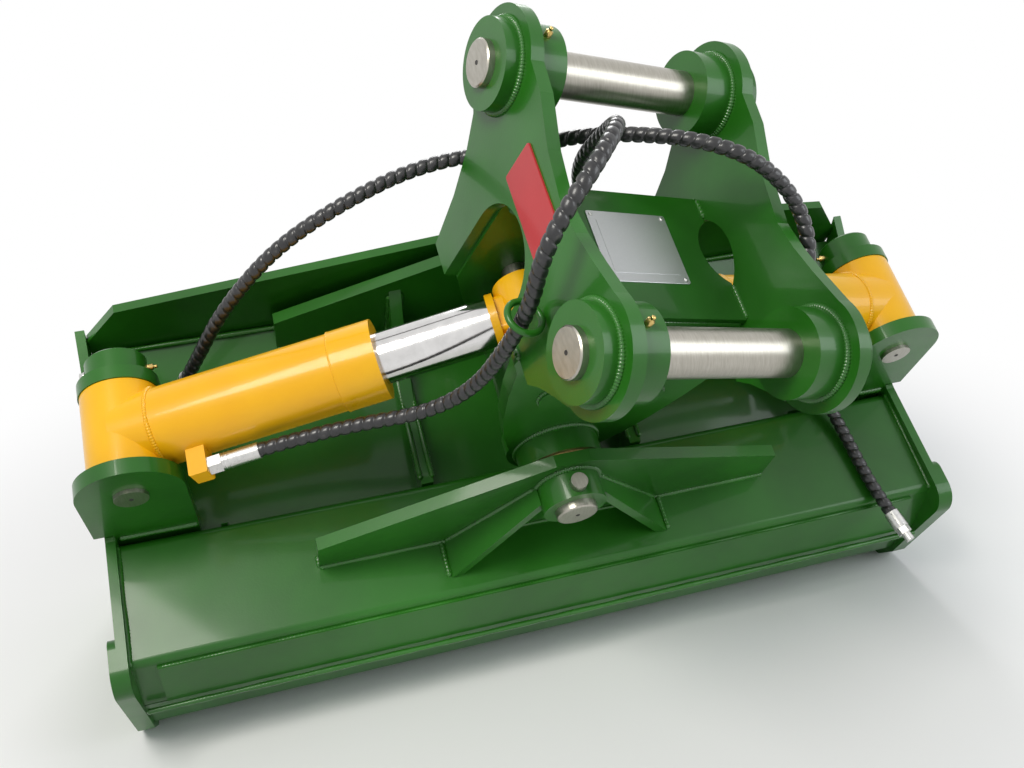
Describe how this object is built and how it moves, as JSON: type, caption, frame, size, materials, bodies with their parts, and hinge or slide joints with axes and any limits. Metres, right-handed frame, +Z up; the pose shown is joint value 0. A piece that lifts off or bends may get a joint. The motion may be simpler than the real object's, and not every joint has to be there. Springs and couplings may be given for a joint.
{
  "type": "tilt bucket",
  "caption": "Wide tilting grading bucket: folded shell with a flat bevelled blade, and a headstock with carrying pins swung sideways on a central pin by hydraulic cylinders.",
  "frame": {"origin": "on the ground at mid-width, under the floor plate, 260 mm behind the blade's edge", "axes": "+X across the bucket to its right seen from the heel, +Y from the heel to the mouth, +Z up from the flat floor it stands on"},
  "size_m": [1.43, 0.9585, 1.0943],
  "materials": {
    "green_paint": "glossy thick paint over mill steel and weld beads",
    "yellow_paint": "glossy amber paint on the cylinders",
    "chrome_rod": "polished hard chrome",
    "pin_steel": "turned, lightly oiled",
    "plated_fitting": "bright zinc plating",
    "bronze": "machined bearing bronze",
    "hose_black": "rubber hose in a coiled plastic guard"
  },
  "bodies": {
    "bucket": {"base_pin_ends_left": "pin_steel", "base_pin_ends_right": "pin_steel", "boss_brace_left": "green_paint", "boss_brace_right": "green_paint", "cutting_edge": "green_paint", "deck_plate": "green_paint", "edge_tabs": "green_paint", "heel_strip_lower": "green_paint", "heel_strip_upper": "green_paint", "hinge_plate_far": "green_paint", "hinge_plate_near": "green_paint", "hose_end_left": "plated_fitting", "hose_end_right": "plated_fitting", "hose_left": "hose_black", "hose_right": "hose_black", "lug_boss_left": "green_paint", "lug_boss_right": "green_paint", "lug_far_left": "green_paint", "lug_far_right": "green_paint", "lug_near_left": "green_paint", "lug_near_right": "green_paint", "shell": "green_paint", "side_plate_left": "green_paint", "side_plate_right": "green_paint", "side_wear_left": "green_paint", "side_wear_right": "green_paint", "tilt_boss": "green_paint", "tilt_pin": "pin_steel", "tilt_pin_bolt": "pin_steel", "top_rail": "green_paint", "trough_rib_left": "green_paint", "trough_rib_right": "green_paint"},
    "headstock": {"carry_pin_far": "pin_steel", "carry_pin_near": "pin_steel", "centre_plate": "green_paint", "collars_far": "green_paint", "collars_near": "green_paint", "cross_plate_far": "green_paint", "cross_plate_near": "green_paint", "ear_left": "green_paint", "ear_right": "green_paint", "eye_pin_caps": "green_paint", "eye_pin_left": "pin_steel", "eye_pin_right": "pin_steel", "hose_rings": "green_paint", "hub_bushes": "bronze", "hub_tube": "green_paint"},
    "rod_left": {"rod_left": "chrome_rod", "rod_eye_left": "yellow_paint"},
    "rod_right": {"rod_right": "chrome_rod", "rod_eye_right": "yellow_paint"},
    "barrel_left": {"barrel_left": "yellow_paint", "gland_left": "yellow_paint", "base_pin_core_left": "pin_steel", "port_fitting_left": "plated_fitting"},
    "barrel_right": {"barrel_right": "yellow_paint", "gland_right": "yellow_paint", "base_pin_core_right": "pin_steel", "port_fitting_right": "plated_fitting"}
  },
  "joints": [
    {"name": "tilt", "type": "hinge", "parent": "bucket", "child": "headstock", "pos_m": [0, -0.41934, 0.34297], "axis": [0, 0.809, 0.5878], "range_deg": [-63, 27], "deforming": ["hose_end_left", "hose_end_right", "hose_left", "hose_right"]},
    {"name": "rod_swing_left", "type": "hinge", "parent": "headstock", "child": "rod_left", "pos_m": [-0.02721, -0.27578, 0.65576], "axis": [0, 0.809, 0.5878], "range_deg": [-29, 67]},
    {"name": "rod_swing_right", "type": "hinge", "parent": "headstock", "child": "rod_right", "pos_m": [0.12115, -0.24744, 0.61676], "axis": [0, 0.809, 0.5878], "range_deg": [-29, 67]},
    {"name": "stroke_left", "type": "slide", "parent": "rod_left", "child": "barrel_left", "axis": [-0.963, 0.1584, -0.218], "range_m": [-0.16, 0.069]},
    {"name": "stroke_right", "type": "slide", "parent": "rod_right", "child": "barrel_right", "axis": [0.973, 0.1358, -0.1869], "range_m": [-0.069, 0.16]}
  ],
  "couplings": [
    {"joint": "rod_swing_left", "follows": "tilt", "ratio": -1.056},
    {"joint": "rod_swing_right", "follows": "tilt", "ratio": -1.056},
    {"joint": "stroke_left", "follows": "tilt", "m_per_rad": 0.1445},
    {"joint": "stroke_right", "follows": "tilt", "m_per_rad": -0.1445}
  ]
}
